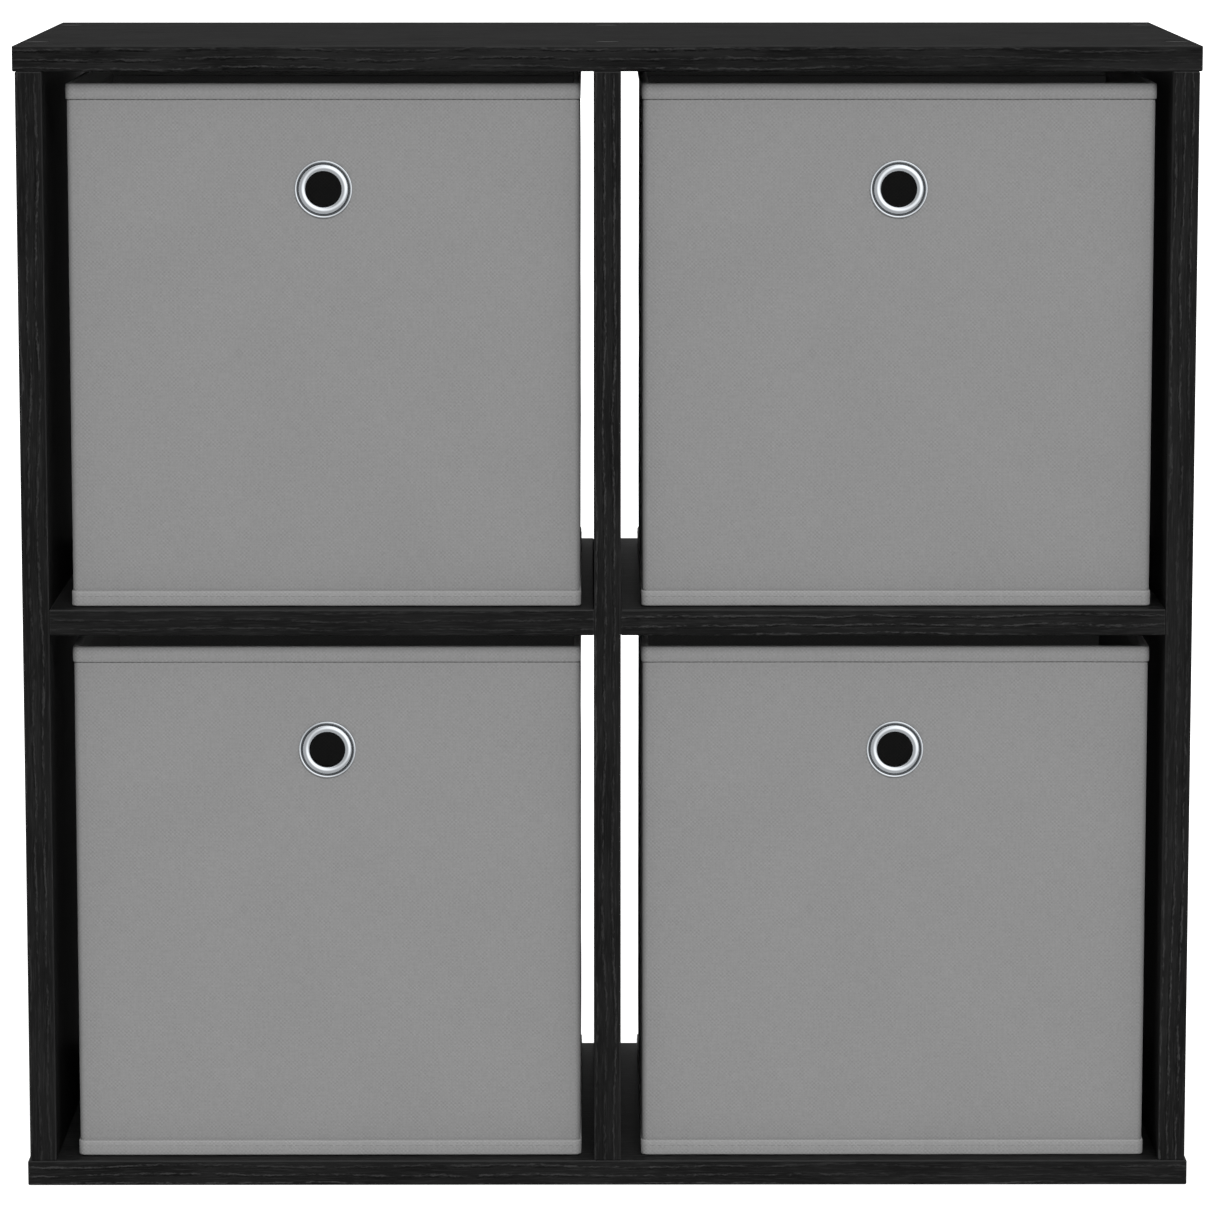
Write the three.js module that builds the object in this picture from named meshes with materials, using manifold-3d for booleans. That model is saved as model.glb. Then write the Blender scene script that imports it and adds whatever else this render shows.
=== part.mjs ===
// Cube storage unit: an open-backed cabinet of two by two cells, made of black wood-look boards,
// with a grey fabric storage box in each cell.
//
// Millimetres, +Z up. The origin is on the floor in the middle of the cabinet's footprint,
// the open front faces -Y and the cabinet's left side is at -X.

import * as THREE from 'three';
import { RoundedBoxGeometry } from 'three/addons/geometries/RoundedBoxGeometry.js';
import { mergeVertices } from 'three/addons/utils/BufferGeometryUtils.js';
import Module from 'manifold-3d';

const wasm = await Module();
wasm.setup();

// ---------------------------------------------------------------- cabinet dimensions
const CABINET_WIDTH = 695;
const CABINET_DEPTH = 325;
const CABINET_HEIGHT = 681;
const PANEL_THICKNESS = 15; // top and bottom panels
const UPRIGHT_THICKNESS = 15.8; // both sides and the divider
const SHELF_THICKNESS = 15.4;
const SHELF_MIDDLE_HEIGHT = 341;
const SIDE_INSET = 1.5; // the sides stand in from the ends of the top and bottom panels
const BOARD_EDGE_RADIUS = 0.8;
const FIT_GAP = 0.3; // clearance round every piece that sits in or on another
const CUT_PAST = 1; // how far a cutting shape runs past the surface that it opens

// ---------------------------------------------------------------- fastener dimensions
const SCREW_FRONT_SETBACK = 58; // from the front edge to the front row of fasteners
const SCREW_REAR_SETBACK = 38; // from the rear edge to the rear row
const SCREW_LENGTH = 50;
const SCREW_SHANK_RADIUS = 3.2;
const SCREW_HEAD_RADIUS = 5;
const SCREW_HEAD_HEIGHT = 1.6; // the straight rim of the head, above its cone
const SCREW_CONE_HEIGHT = 2.4;
const SCREW_TIP_LENGTH = 4;
const SCREW_BORE_SPARE = 1; // the bore goes this much deeper than the screw's point
const SCREW_SOCKET_RADIUS = 2.3; // key socket, to its corners
const SCREW_SOCKET_SIDES = 6;
const SCREW_SOCKET_DEPTH = 2.2;
const CAP_RADIUS = 7.5;
const CAP_THICKNESS = 1.4;
const CAP_RECESS = 0.2; // a cap lies this far below the board's surface
const UNDERSIDE_RECESS = 0.8; // the uncapped heads lie this far inside the bottom panel
const DOWEL_RADIUS = 4;
const DOWEL_LENGTH = 50;
const DOWEL_CHAMFER = 1;
const DOWEL_BORE_SPARE = 1; // at each end of a dowel
const ROUND_SIDES = 12; // sides of a screw, a dowel and the holes for them
const CAP_SIDES = 24;

// ---------------------------------------------------------------- fabric box dimensions
const BOX_WIDTH = 301;
const BOX_DEPTH = 298;
const BOX_HEIGHT = 309.5;
const BOX_SIDEWAYS_SHIFT = 2.2; // each box stands this far right of the middle of its cell
const BOX_WALL = 3; // stiffener board with fabric on both faces
const BOX_FLOOR = 2;
const BOX_CORNER_RADIUS = 3.6;
const CORNER_SEGMENTS = 2;
const BINDING_THICKNESS = 0.7; // woven tape folded round the rim and the bottom edge
const TOP_BINDING_HEIGHT = 9.2;
const BOTTOM_BINDING_HEIGHT = 9;
const BOTTOM_BINDING_TURN_UNDER = 8;
const BASE_BOARD_THICKNESS = 3;
const BASE_BOARD_SIDE_GAP = 2.2; // lets the board pass the tail of the eyelet
const EYELET_DROP = 62; // from the rim down to the middle of the eyelet
const EYELET_HOLE_RADIUS = 10.4;
const EYELET_BARREL_RADIUS = 11.6;
const EYELET_GROOVE_RADIUS = 15.3; // the groove between the rolled bead and the rim
const EYELET_FLANGE_RADIUS = 17;
const EYELET_BEAD_HEIGHT = 2.1;
const EYELET_RIM_HEIGHT = 1;
const EYELET_SIDES = 24;
const WASHER_RADIUS = 16;
const WASHER_THICKNESS = 0.8;

// ---------------------------------------------------------------- derived places
const FRONT_Y = -CABINET_DEPTH / 2;
const REAR_Y = CABINET_DEPTH / 2;
const SIDE_OUTER_X = CABINET_WIDTH / 2 - SIDE_INSET;
const SIDE_INNER_X = SIDE_OUTER_X - UPRIGHT_THICKNESS;
const DIVIDER_FACE_X = UPRIGHT_THICKNESS / 2;
const TOP_UNDERSIDE_Z = CABINET_HEIGHT - PANEL_THICKNESS;
const SHELF_TOP_Z = SHELF_MIDDLE_HEIGHT + SHELF_THICKNESS / 2;
const CELL_WIDTH = SIDE_INNER_X - DIVIDER_FACE_X;
const CELL_MIDDLE_X = (SIDE_INNER_X + DIVIDER_FACE_X) / 2;
const SIDE_MIDDLE_X = SIDE_OUTER_X - UPRIGHT_THICKNESS / 2;
const FASTENER_ROWS = [
  { row: 'front', y: FRONT_Y + SCREW_FRONT_SETBACK },
  { row: 'rear', y: REAR_Y - SCREW_REAR_SETBACK },
];
const UPRIGHTS = [
  { place: 'left', x: -SIDE_MIDDLE_X },
  { place: 'middle', x: 0 },
  { place: 'right', x: SIDE_MIDDLE_X },
];
const CAP_HEAD_DEPTH = CAP_RECESS + CAP_THICKNESS + FIT_GAP; // surface to a capped screw head
const UP = [0, 0, 1];
const DOWN = [0, 0, -1];
const ACROSS = [1, 0, 0];
const REARWARD = [0, 1, 0];

// ---------------------------------------------------------------- materials
const blackWood = new THREE.MeshStandardMaterial({ color: 0x242321, roughness: 0.6, metalness: 0 });
const greyFabric = new THREE.MeshStandardMaterial({ color: 0x8b8b8b, roughness: 0.95, metalness: 0 });
const greyBinding = new THREE.MeshStandardMaterial({ color: 0x858585, roughness: 0.95, metalness: 0 });
const greyBoard = new THREE.MeshStandardMaterial({ color: 0x6f6f6f, roughness: 0.95, metalness: 0 });
const polishedMetal = new THREE.MeshStandardMaterial({ color: 0xd9dadb, roughness: 0.12, metalness: 1 });
const zincSteel = new THREE.MeshStandardMaterial({ color: 0xa9abad, roughness: 0.35, metalness: 1 });
const blackPlastic = new THREE.MeshStandardMaterial({ color: 0x1b1a19, roughness: 0.5, metalness: 0 });
const paleBeech = new THREE.MeshStandardMaterial({ color: 0xc9a877, roughness: 0.7, metalness: 0 });

const unit = new THREE.Group();

// ---------------------------------------------------------------- building blocks
function toSolid(geometry) {
  const bare = geometry.clone();
  bare.deleteAttribute('normal');
  bare.deleteAttribute('uv');
  const merged = mergeVertices(bare);
  const vertProperties = new Float32Array(merged.attributes.position.array);
  const triVerts = new Uint32Array(merged.index.array);
  return new wasm.Manifold(new wasm.Mesh({ numProp: 3, vertProperties, triVerts }));
}

function toGeometry(solid) {
  const mesh = solid.getMesh();
  const geometry = new THREE.BufferGeometry();
  geometry.setAttribute('position', new THREE.BufferAttribute(new Float32Array(mesh.vertProperties), 3));
  geometry.setIndex(new THREE.BufferAttribute(new Uint32Array(mesh.triVerts), 1));
  return geometry;
}

function addPiece(name, geometry, material) {
  const mesh = new THREE.Mesh(geometry, material);
  mesh.name = name;
  unit.add(mesh);
  return mesh;
}

// A board with eased edges, from its lowest corner to its highest.
function board(low, high) {
  const size = high.map((value, axis) => value - low[axis]);
  const geometry = new RoundedBoxGeometry(...size, 1, BOARD_EDGE_RADIUS);
  geometry.translate(...high.map((value, axis) => (value + low[axis]) / 2));
  return toSolid(geometry);
}

// A solid of revolution whose profile is [radius, height] pairs, standing along +Z.
function turned(profile, sides) {
  const points = profile.map(([radius, height]) => new THREE.Vector2(radius, height));
  const geometry = new THREE.LatheGeometry(points, sides);
  geometry.rotateX(Math.PI / 2);
  return geometry;
}

// Turns a solid that stands along +Z so that it points along a direction, from a start point.
function aim(geometry, start, direction) {
  const turn = new THREE.Quaternion().setFromUnitVectors(
    new THREE.Vector3(0, 0, 1),
    new THREE.Vector3(...direction),
  );
  return geometry.clone().applyQuaternion(turn).translate(...start);
}

// A box outline with rounded corners, centred on the axis.
function roundedOutline(width, depth, radius) {
  const x = width / 2;
  const y = depth / 2;
  const outline = new THREE.Shape();
  outline.moveTo(x, -y + radius);
  outline.lineTo(x, y - radius);
  outline.absarc(x - radius, y - radius, radius, 0, Math.PI / 2);
  outline.lineTo(-x + radius, y);
  outline.absarc(-x + radius, y - radius, radius, Math.PI / 2, Math.PI);
  outline.lineTo(-x, -y + radius);
  outline.absarc(-x + radius, -y + radius, radius, Math.PI, 1.5 * Math.PI);
  outline.lineTo(x - radius, -y);
  outline.absarc(x - radius, -y + radius, radius, 1.5 * Math.PI, 2 * Math.PI);
  return outline;
}

// A rounded block of the box's plan, grown outwards by a margin, between two heights.
function boxBlock(margin, bottom, top) {
  const outline = roundedOutline(
    BOX_WIDTH + 2 * margin,
    BOX_DEPTH + 2 * margin,
    Math.max(BOX_CORNER_RADIUS + margin, BINDING_THICKNESS),
  );
  const geometry = new THREE.ExtrudeGeometry(outline, {
    depth: top - bottom,
    bevelEnabled: false,
    curveSegments: CORNER_SEGMENTS,
  });
  geometry.translate(0, 0, bottom);
  return toSolid(geometry);
}

// ---------------------------------------------------------------- fasteners and their holes
// A fastener points along its direction from its head's outer face. The bore that takes it
// starts at the board's surface, a distance called sunk above the head.
function screwGeometry() {
  const neck = SCREW_HEAD_HEIGHT + SCREW_CONE_HEIGHT;
  const body = toSolid(turned([
    [0, 0],
    [SCREW_HEAD_RADIUS, 0],
    [SCREW_HEAD_RADIUS, SCREW_HEAD_HEIGHT],
    [SCREW_SHANK_RADIUS, neck],
    [SCREW_SHANK_RADIUS, SCREW_LENGTH - SCREW_TIP_LENGTH],
    [0, SCREW_LENGTH],
  ], ROUND_SIDES));
  const socket = toSolid(turned([
    [0, -CUT_PAST],
    [SCREW_SOCKET_RADIUS, -CUT_PAST],
    [SCREW_SOCKET_RADIUS, SCREW_SOCKET_DEPTH],
    [0, SCREW_SOCKET_DEPTH],
  ], SCREW_SOCKET_SIDES));
  return toGeometry(body.subtract(socket));
}

function screwBore(sunk) {
  const wide = SCREW_HEAD_RADIUS + FIT_GAP;
  const narrow = SCREW_SHANK_RADIUS + FIT_GAP;
  const rim = sunk + SCREW_HEAD_HEIGHT + FIT_GAP;
  const end = sunk + SCREW_LENGTH + SCREW_BORE_SPARE;
  return turned([
    [0, -CUT_PAST],
    [wide, -CUT_PAST],
    [wide, rim],
    [narrow, rim + SCREW_CONE_HEIGHT],
    [narrow, end],
    [0, end],
  ], ROUND_SIDES);
}

function capBore() {
  const wide = CAP_RADIUS + FIT_GAP;
  return turned([
    [0, -CUT_PAST],
    [wide, -CUT_PAST],
    [wide, CAP_HEAD_DEPTH],
    [0, CAP_HEAD_DEPTH],
  ], CAP_SIDES);
}

function capGeometry() {
  return turned([[0, 0], [CAP_RADIUS, 0], [CAP_RADIUS, CAP_THICKNESS], [0, CAP_THICKNESS]], CAP_SIDES);
}

function dowelGeometry() {
  const half = DOWEL_LENGTH / 2;
  return turned([
    [0, -half],
    [DOWEL_RADIUS - DOWEL_CHAMFER, -half],
    [DOWEL_RADIUS, -half + DOWEL_CHAMFER],
    [DOWEL_RADIUS, half - DOWEL_CHAMFER],
    [DOWEL_RADIUS - DOWEL_CHAMFER, half],
    [0, half],
  ], ROUND_SIDES);
}

function dowelBore() {
  const half = DOWEL_LENGTH / 2 + DOWEL_BORE_SPARE;
  const radius = DOWEL_RADIUS + FIT_GAP;
  return turned([[0, -half], [radius, -half], [radius, half], [0, half]], ROUND_SIDES);
}

// Every screw: its name, the point on the board's surface and the way it is driven.
function screwList() {
  const screws = [];
  for (const { row, y } of FASTENER_ROWS) {
    for (const { place, x } of UPRIGHTS) {
      screws.push({ name: `top_${place}_${row}`, start: [x, y, CABINET_HEIGHT], way: DOWN, capped: true });
      screws.push({ name: `bottom_${place}_${row}`, start: [x, y, 0], way: UP, capped: false });
    }
    for (const [place, sign] of [['left', -1], ['right', 1]]) {
      const start = [sign * SIDE_OUTER_X, y, SHELF_MIDDLE_HEIGHT];
      screws.push({ name: `${place}_shelf_${row}`, start, way: [-sign, 0, 0], capped: true });
    }
  }
  return screws;
}

function alongWay({ start, way }, distance) {
  return start.map((value, axis) => value + way[axis] * distance);
}

// ---------------------------------------------------------------- cabinet
function addCabinet() {
  const boards = {
    bottom_panel: board([-CABINET_WIDTH / 2, FRONT_Y, 0], [CABINET_WIDTH / 2, REAR_Y, PANEL_THICKNESS]),
    top_panel: board(
      [-CABINET_WIDTH / 2, FRONT_Y, TOP_UNDERSIDE_Z],
      [CABINET_WIDTH / 2, REAR_Y, CABINET_HEIGHT],
    ),
    left_side_panel: board(
      [-SIDE_OUTER_X, FRONT_Y, PANEL_THICKNESS],
      [-SIDE_INNER_X, REAR_Y, TOP_UNDERSIDE_Z],
    ),
    right_side_panel: board(
      [SIDE_INNER_X, FRONT_Y, PANEL_THICKNESS],
      [SIDE_OUTER_X, REAR_Y, TOP_UNDERSIDE_Z],
    ),
    centre_divider: board(
      [-DIVIDER_FACE_X, FRONT_Y, PANEL_THICKNESS],
      [DIVIDER_FACE_X, REAR_Y, TOP_UNDERSIDE_Z],
    ),
    left_shelf: board(
      [-SIDE_INNER_X, FRONT_Y, SHELF_TOP_Z - SHELF_THICKNESS],
      [-DIVIDER_FACE_X, REAR_Y, SHELF_TOP_Z],
    ),
    right_shelf: board(
      [DIVIDER_FACE_X, FRONT_Y, SHELF_TOP_Z - SHELF_THICKNESS],
      [SIDE_INNER_X, REAR_Y, SHELF_TOP_Z],
    ),
  };

  const drilled = [];
  for (const screw of screwList()) {
    const sunk = screw.capped ? CAP_HEAD_DEPTH : UNDERSIDE_RECESS;
    drilled.push(aim(screwBore(sunk), screw.start, screw.way));
    addPiece(`${screw.name}_screw`, aim(screwGeometry(), alongWay(screw, sunk), screw.way), zincSteel);
    if (screw.capped) {
      drilled.push(aim(capBore(), screw.start, screw.way));
      addPiece(`${screw.name}_cap`, aim(capGeometry(), alongWay(screw, CAP_RECESS), screw.way), blackPlastic);
    }
  }
  for (const { row, y } of FASTENER_ROWS) {
    const middle = [0, y, SHELF_MIDDLE_HEIGHT];
    drilled.push(aim(dowelBore(), middle, ACROSS));
    addPiece(`shelf_dowel_${row}`, aim(dowelGeometry(), middle, ACROSS), paleBeech);
  }

  const bores = drilled.map(toSolid);
  for (const [name, solid] of Object.entries(boards)) {
    const cut = bores.reduce((rest, bore) => rest.subtract(bore), solid);
    addPiece(name, toGeometry(cut), blackWood);
  }
}

// ---------------------------------------------------------------- fabric boxes
// Each piece of a box is made round the box's own axis with its underside at zero height.
const SHELL_BOTTOM = BINDING_THICKNESS + FIT_GAP;
const SHELL_TOP = BOX_HEIGHT - BINDING_THICKNESS - FIT_GAP;
const BASE_BOARD_BOTTOM = SHELL_BOTTOM + BOX_FLOOR + FIT_GAP;
const EYELET_HEIGHT = BOX_HEIGHT - EYELET_DROP;
const BOX_FRONT = -BOX_DEPTH / 2;

function eyeletBore(radius) {
  const inner = BOX_WALL + CUT_PAST;
  const profile = [[0, -CUT_PAST], [radius, -CUT_PAST], [radius, inner], [0, inner]];
  return toSolid(aim(turned(profile, EYELET_SIDES), [0, BOX_FRONT, EYELET_HEIGHT], REARWARD));
}

function shellSolid() {
  const inside = boxBlock(-BOX_WALL, SHELL_BOTTOM + BOX_FLOOR, SHELL_TOP + CUT_PAST);
  return boxBlock(0, SHELL_BOTTOM, SHELL_TOP)
    .subtract(inside)
    .subtract(eyeletBore(EYELET_BARREL_RADIUS + FIT_GAP));
}

// Tape folded over the rim: an upturned channel round the top of the wall.
function topBindingSolid() {
  const outside = FIT_GAP + BINDING_THICKNESS;
  const foot = BOX_HEIGHT - TOP_BINDING_HEIGHT;
  const below = foot - CUT_PAST;
  const channel = boxBlock(FIT_GAP, below, SHELL_TOP + FIT_GAP)
    .subtract(boxBlock(-BOX_WALL - FIT_GAP, below - CUT_PAST, BOX_HEIGHT));
  return boxBlock(outside, foot, BOX_HEIGHT)
    .subtract(boxBlock(-BOX_WALL - outside, below, BOX_HEIGHT + CUT_PAST))
    .subtract(channel);
}

// Tape round the bottom edge, with its lower half turned under the floor.
function bottomBindingSolid() {
  return boxBlock(FIT_GAP + BINDING_THICKNESS, 0, BOTTOM_BINDING_HEIGHT)
    .subtract(boxBlock(FIT_GAP, BINDING_THICKNESS, BOTTOM_BINDING_HEIGHT + CUT_PAST))
    .subtract(boxBlock(-BOTTOM_BINDING_TURN_UNDER, -CUT_PAST, BINDING_THICKNESS + CUT_PAST));
}

function baseBoardSolid() {
  return boxBlock(
    -BOX_WALL - BASE_BOARD_SIDE_GAP,
    BASE_BOARD_BOTTOM,
    BASE_BOARD_BOTTOM + BASE_BOARD_THICKNESS,
  );
}

// The eyelet's profile runs from the tail of its barrel forward through the hole, over the
// rolled bead, across the groove to the rim, and back behind the flange. Height is along +Y
// from the face of the wall, so what stands in front of the wall is negative.
function eyeletGeometry() {
  const back = -FIT_GAP; // rear face of the flange
  const crest = back - EYELET_BEAD_HEIGHT;
  const groove = back - EYELET_RIM_HEIGHT / 2;
  const beadWidth = EYELET_GROOVE_RADIUS - EYELET_HOLE_RADIUS;
  const rimWidth = EYELET_FLANGE_RADIUS - EYELET_GROOVE_RADIUS;
  const tail = BOX_WALL + 2 * FIT_GAP + WASHER_THICKNESS;
  return turned([
    [EYELET_HOLE_RADIUS, tail],
    [EYELET_HOLE_RADIUS, back],
    [EYELET_HOLE_RADIUS + beadWidth / 4, crest],
    [EYELET_HOLE_RADIUS + 3 * beadWidth / 4, crest],
    [EYELET_GROOVE_RADIUS, groove],
    [EYELET_GROOVE_RADIUS + rimWidth / 2, back - EYELET_RIM_HEIGHT],
    [EYELET_FLANGE_RADIUS, back],
    [EYELET_BARREL_RADIUS, back],
    [EYELET_BARREL_RADIUS, tail],
    [EYELET_HOLE_RADIUS, tail],
  ], EYELET_SIDES);
}

function washerGeometry() {
  const near = BOX_WALL + FIT_GAP;
  const far = near + WASHER_THICKNESS;
  const hole = EYELET_BARREL_RADIUS + FIT_GAP;
  return turned([
    [hole, near],
    [WASHER_RADIUS, near],
    [WASHER_RADIUS, far],
    [hole, far],
    [hole, near],
  ], EYELET_SIDES);
}

function addFabricBox(name, middleX, standingZ) {
  const place = [middleX, 0, standingZ + FIT_GAP];
  const eyeletPlace = [0, BOX_FRONT, EYELET_HEIGHT];
  const pieces = [
    ['fabric_shell', toGeometry(shellSolid()), greyFabric],
    ['top_binding', toGeometry(topBindingSolid()), greyBinding],
    ['bottom_binding', toGeometry(bottomBindingSolid()), greyBinding],
    ['base_board', toGeometry(baseBoardSolid()), greyBoard],
    ['eyelet', aim(eyeletGeometry(), eyeletPlace, REARWARD), polishedMetal],
    ['eyelet_washer', aim(washerGeometry(), eyeletPlace, REARWARD), polishedMetal],
  ];
  for (const [piece, geometry, material] of pieces) {
    addPiece(`${name}_${piece}`, geometry, material).position.set(...place);
  }
}

// ---------------------------------------------------------------- assembly
addCabinet();
for (const [row, standingZ] of [['lower', PANEL_THICKNESS], ['upper', SHELF_TOP_Z]]) {
  for (const [column, sign] of [['left', -1], ['right', 1]]) {
    addFabricBox(`${row}_${column}`, sign * CELL_MIDDLE_X + BOX_SIDEWAYS_SHIFT, standingZ);
  }
}

export default unit;
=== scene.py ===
"""The looks of the cube storage unit: materials, sewn fabric boxes, eyelets, light and camera.

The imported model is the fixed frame. The boards, caps, screws and dowels are its own nodes with
better materials. Each fabric box is rebuilt in mesh code in the place that its nodes hold.
Lengths are in metres, +Z is up and the front faces -Y.
"""

import math

import bmesh
import bpy
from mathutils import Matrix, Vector, noise


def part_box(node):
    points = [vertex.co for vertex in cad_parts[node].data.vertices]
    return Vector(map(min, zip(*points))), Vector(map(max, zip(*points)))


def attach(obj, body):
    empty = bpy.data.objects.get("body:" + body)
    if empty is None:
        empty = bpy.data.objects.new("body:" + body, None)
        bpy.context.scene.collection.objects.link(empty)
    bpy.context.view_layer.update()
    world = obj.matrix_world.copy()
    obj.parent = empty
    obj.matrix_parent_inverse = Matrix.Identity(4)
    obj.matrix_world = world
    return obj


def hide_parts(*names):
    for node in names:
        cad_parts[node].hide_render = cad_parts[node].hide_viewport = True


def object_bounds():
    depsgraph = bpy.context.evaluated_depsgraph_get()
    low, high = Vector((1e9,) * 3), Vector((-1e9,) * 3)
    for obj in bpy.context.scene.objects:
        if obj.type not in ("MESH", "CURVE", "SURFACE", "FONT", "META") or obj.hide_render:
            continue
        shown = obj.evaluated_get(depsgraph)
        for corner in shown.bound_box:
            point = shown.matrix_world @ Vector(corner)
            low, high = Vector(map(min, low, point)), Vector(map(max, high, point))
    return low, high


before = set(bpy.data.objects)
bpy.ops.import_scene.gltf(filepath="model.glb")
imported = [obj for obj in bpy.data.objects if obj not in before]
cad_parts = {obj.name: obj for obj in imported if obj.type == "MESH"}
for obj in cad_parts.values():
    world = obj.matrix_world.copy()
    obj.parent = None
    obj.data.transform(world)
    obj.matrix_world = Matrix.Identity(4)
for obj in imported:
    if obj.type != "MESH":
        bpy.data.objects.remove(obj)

MM = 0.001
cad_low, cad_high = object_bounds()
SCENE = bpy.context.scene

# ------------------------------------------------------------------ camera
# It stands a little higher than the unit, almost on its middle line, far away with a long
# lens, and is tilted down at the unit's middle.
CAMERA_DISTANCE = 3.368  # from the front edges
CAMERA_HEIGHT = 0.8363
CAMERA_SIDEWAYS = -0.0109
CAMERA_TILT_DEGREES = 8.21  # downwards
CAMERA_TURN_DEGREES = 0.18  # to the right
CAMERA_LENS_MM = 170.66
CAMERA_SENSOR_MM = 36
CAMERA_REACH = 200.0


def add_camera():
    data = bpy.data.cameras.new("camera")
    data.lens = CAMERA_LENS_MM
    data.sensor_width = CAMERA_SENSOR_MM
    data.clip_end = CAMERA_REACH
    camera = bpy.data.objects.new("camera", data)
    camera.location = (CAMERA_SIDEWAYS, cad_low.y - CAMERA_DISTANCE, CAMERA_HEIGHT)
    tilt = math.radians(90 - CAMERA_TILT_DEGREES)
    turn = math.radians(-CAMERA_TURN_DEGREES)
    camera.rotation_euler = (tilt, 0, turn)
    SCENE.collection.objects.link(camera)
    SCENE.camera = camera


# ------------------------------------------------------------------ node helpers
class Shader:
    """A material's node tree, with short calls for the nodes that the materials share."""

    def __init__(self, name):
        self.material = bpy.data.materials.new(name)
        self.material.use_nodes = True
        self.tree = self.material.node_tree
        self.surface = self.tree.nodes["Principled BSDF"]

    def node(self, kind, **settings):
        made = self.tree.nodes.new(kind)
        for key, value in settings.items():
            setattr(made, key, value)
        return made

    def put(self, value, socket):
        """Links an output to a socket, or sets the socket to a plain value."""
        if isinstance(value, bpy.types.NodeSocket):
            self.tree.links.new(value, socket)
        else:
            socket.default_value = value

    def set(self, values):
        """Sets or links the surface's own sockets, by their names."""
        for name, value in values.items():
            self.put(value, self.surface.inputs[name])

    def math(self, operation, *values, clamp=False):
        made = self.node("ShaderNodeMath", operation=operation, use_clamp=clamp)
        for index, value in enumerate(values):
            self.put(value, made.inputs[index])
        return made.outputs[0]

    def mix(self, share, first, second):
        made = self.node("ShaderNodeMix", data_type="RGBA")
        self.put(share, made.inputs[0])
        self.put(first, made.inputs[6])
        self.put(second, made.inputs[7])
        return made.outputs[2]

    def steps(self, value, low, high, to_low=0.0, to_high=1.0):
        made = self.node("ShaderNodeMapRange", interpolation_type="SMOOTHSTEP")
        for index, number in enumerate((value, low, high, to_low, to_high)):
            self.put(number, made.inputs[index])
        return made.outputs[0]

    def place(self, kind="Object"):
        return self.node("ShaderNodeTexCoord").outputs[kind]

    def parts(self, vector):
        """The three parts of a vector."""
        made = self.node("ShaderNodeSeparateXYZ")
        self.put(vector, made.inputs[0])
        return made.outputs

    def scaled(self, vector, scale, shift=(0, 0, 0)):
        made = self.node("ShaderNodeMapping")
        self.put(vector, made.inputs["Vector"])
        made.inputs["Scale"].default_value = scale
        made.inputs["Location"].default_value = shift
        return made.outputs[0]

    def noise(self, vector, detail=3.0, roughness=0.55):
        made = self.node("ShaderNodeTexNoise")
        self.put(vector, made.inputs["Vector"])
        made.inputs["Scale"].default_value = 1.0
        made.inputs["Detail"].default_value = detail
        made.inputs["Roughness"].default_value = roughness
        return made.outputs[0]

    def bump(self, height, distance):
        made = self.node("ShaderNodeBump")
        made.inputs["Strength"].default_value = 1.0
        made.inputs["Distance"].default_value = distance
        self.put(height, made.inputs["Height"])
        self.put(made.outputs[0], self.surface.inputs["Normal"])


def grey(level):
    """A neutral linear colour."""
    return (level, level, level, 1)


# ------------------------------------------------------------------ wood
# Each pattern is noise in patches, given as (length along the grain, width across it).
STREAK_SPACING = 5.4 * MM  # between the pale lines of the embossed grain
SWAY_PATCH = (80 * MM, 24 * MM)  # how the lines bend
SWAY_REACH = 7 * MM
JITTER_PATCH = (6.5 * MM, 3.3 * MM)  # how ragged they are
JITTER_REACH = 3.4 * MM
BREAK_PATCH = (9 * MM, 2.8 * MM)  # where they break off
BAND_PATCH = (280 * MM, 22 * MM)  # where they are strong and where faint
FIBRE_PATCH = (14 * MM, 0.7 * MM)
FIGURE_PATCH = (60 * MM, 10 * MM)
SHADOW_TURN = 1.05  # radians from each pale line to the dark one beside it
BOARD_STEP = (0.37, 0.53, 0.71)  # from one board's place in the noise to the next one's
WOOD_DARK = 0.0038
WOOD_MID = 0.0078
WOOD_PALE = 0.0380
# the paleness painted on board edges that face up or sideways: a painted highlight
EDGE_HIGHLIGHT_LEVEL = 0.0380
GROOVE_ROUGHNESS = 0.74
RIDGE_ROUGHNESS = 0.64
FILM_ROUGHNESS = 0.3
GRAIN_DEPTH = 0.16 * MM
# The film is the share of a smooth clear coat, which shows at grazing angles.
BOARD_FINISH = {"gloss": 0.05, "film": 0.10, "tone": 1.0}
TOP_FINISH_PAINTED_PALER = {"gloss": 0.012, "film": 0.005, "tone": 1.8}  # duller than the other boards, and its colour paler: painted light on it, in place of the sheen it lacks
GRAIN_DIRECTIONS = {
    "top_panel": "X",
    "bottom_panel": "X",
    "left_shelf": "X",
    "right_shelf": "X",
    "left_side_panel": "Z",
    "right_side_panel": "Z",
    "centre_divider": "Z",
}


def painted_edge_highlight(shader):
    """Where a painted highlight goes: 1 on the narrow facets between a board's faces that look up, half that
    on those that look sideways.
    """
    normal = shader.parts(shader.node("ShaderNodeNewGeometry").outputs["True Normal"])

    def slanted(towards):
        not_level = shader.steps(towards, 0.3, 0.5)
        not_flat = shader.steps(towards, 0.97, 0.9)
        return shader.math("MULTIPLY", not_level, not_flat)

    sideways = slanted(shader.math("ABSOLUTE", normal[0]))
    return shader.math("MAXIMUM", slanted(normal[2]), shader.math("MULTIPLY", sideways, 0.5))


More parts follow.
